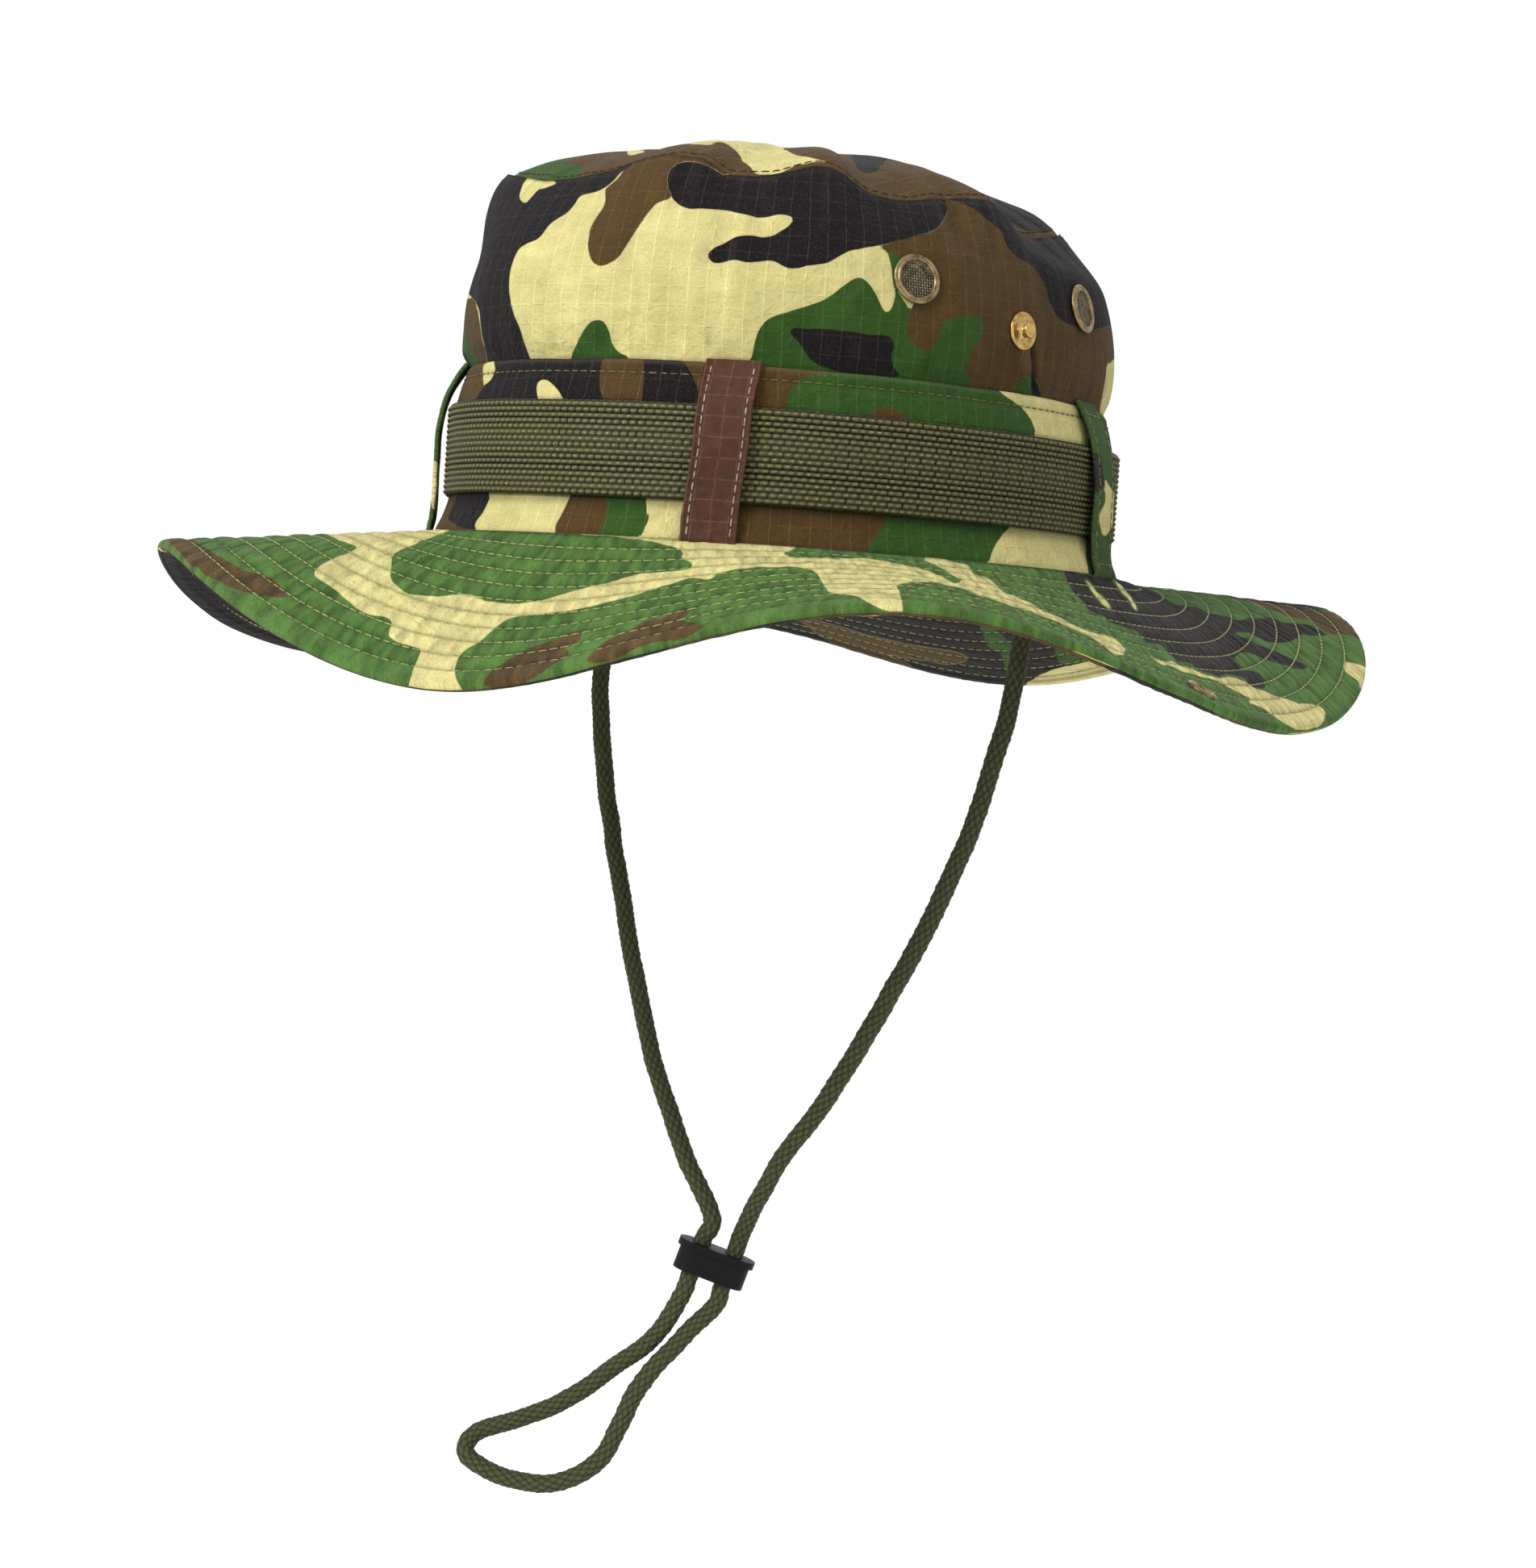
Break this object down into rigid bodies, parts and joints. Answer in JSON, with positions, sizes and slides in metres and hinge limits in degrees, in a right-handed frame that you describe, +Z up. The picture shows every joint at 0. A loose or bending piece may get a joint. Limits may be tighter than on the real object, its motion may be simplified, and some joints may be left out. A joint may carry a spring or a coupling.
{
  "type": "boonie hat",
  "caption": "Soft boonie hat with a wavy stitched brim that snaps up at both sides, screened vents, branch loops and a chin cord with a slider.",
  "frame": {"origin": "centre of the head opening, in the plane where the brim is sewn to the crown", "axes": "+Z up out of the crown, -Y to the front of the hat, +X to the wearer's left"},
  "size_m": [0.33, 0.3637, 0.4041],
  "materials": {
    "camo_cloth": "ripstop, woodland pattern",
    "brown_tape": "ripstop, folded and stitched",
    "stiffener": "plain non-woven",
    "sweatband_cloth": "plain weave",
    "olive_webbing": "coarse woven tape",
    "braided_cord": "braided",
    "black_plastic": "moulded, matt",
    "antique_brass": "antiqued",
    "screen_mesh": "woven wire, darkened"
  },
  "bodies": {
    "hat": {"crown_tip": "camo_cloth", "crown_wall": "camo_cloth", "crown_band": "camo_cloth", "sweatband": "sweatband_cloth", "brim_top_center": "camo_cloth", "brim_stiffener_center": "stiffener", "brim_under_center": "camo_cloth", "webbing_band": "olive_webbing", "loop_front_left": "brown_tape", "loop_front_right": "camo_cloth", "loop_side_left": "camo_cloth", "loop_side_right": "camo_cloth", "loop_back": "camo_cloth", "vent_eyelets": "antique_brass", "vent_screens": "screen_mesh", "vent_washers": "antique_brass", "snap_studs": "antique_brass", "snap_stud_backs": "antique_brass", "cord_anchor_left": "olive_webbing", "cord_anchor_right": "olive_webbing", "chin_cord_left": "braided_cord", "chin_cord_right": "braided_cord", "chin_cord_loop": "braided_cord"},
    "brim_side_left": {"brim_top_left": "camo_cloth", "brim_stiffener_left": "stiffener", "brim_under_left": "camo_cloth", "snap_socket_left": "antique_brass", "snap_cap_left": "antique_brass"},
    "brim_side_right": {"brim_top_right": "camo_cloth", "brim_stiffener_right": "stiffener", "brim_under_right": "camo_cloth", "snap_socket_right": "antique_brass", "snap_cap_right": "antique_brass"},
    "slider": {"cord_slider": "black_plastic"}
  },
  "joints": [
    {"name": "brim_snap_left", "type": "hinge", "parent": "hat", "child": "brim_side_left", "pos_m": [0.0985, 0, -0.001], "axis": [0, -1, 0], "range_deg": [0, 122.3]},
    {"name": "brim_snap_right", "type": "hinge", "parent": "hat", "child": "brim_side_right", "pos_m": [-0.0985, 0, -0.001], "axis": [0, 1, 0], "range_deg": [0, 122.3]},
    {"name": "cord_slide", "type": "slide", "parent": "hat", "child": "slider", "axis": [0.2173, 0.1956, 0.9563], "range_m": [-0.012, 0.08], "deforming": ["chin_cord_left", "chin_cord_right", "chin_cord_loop"]}
  ]
}
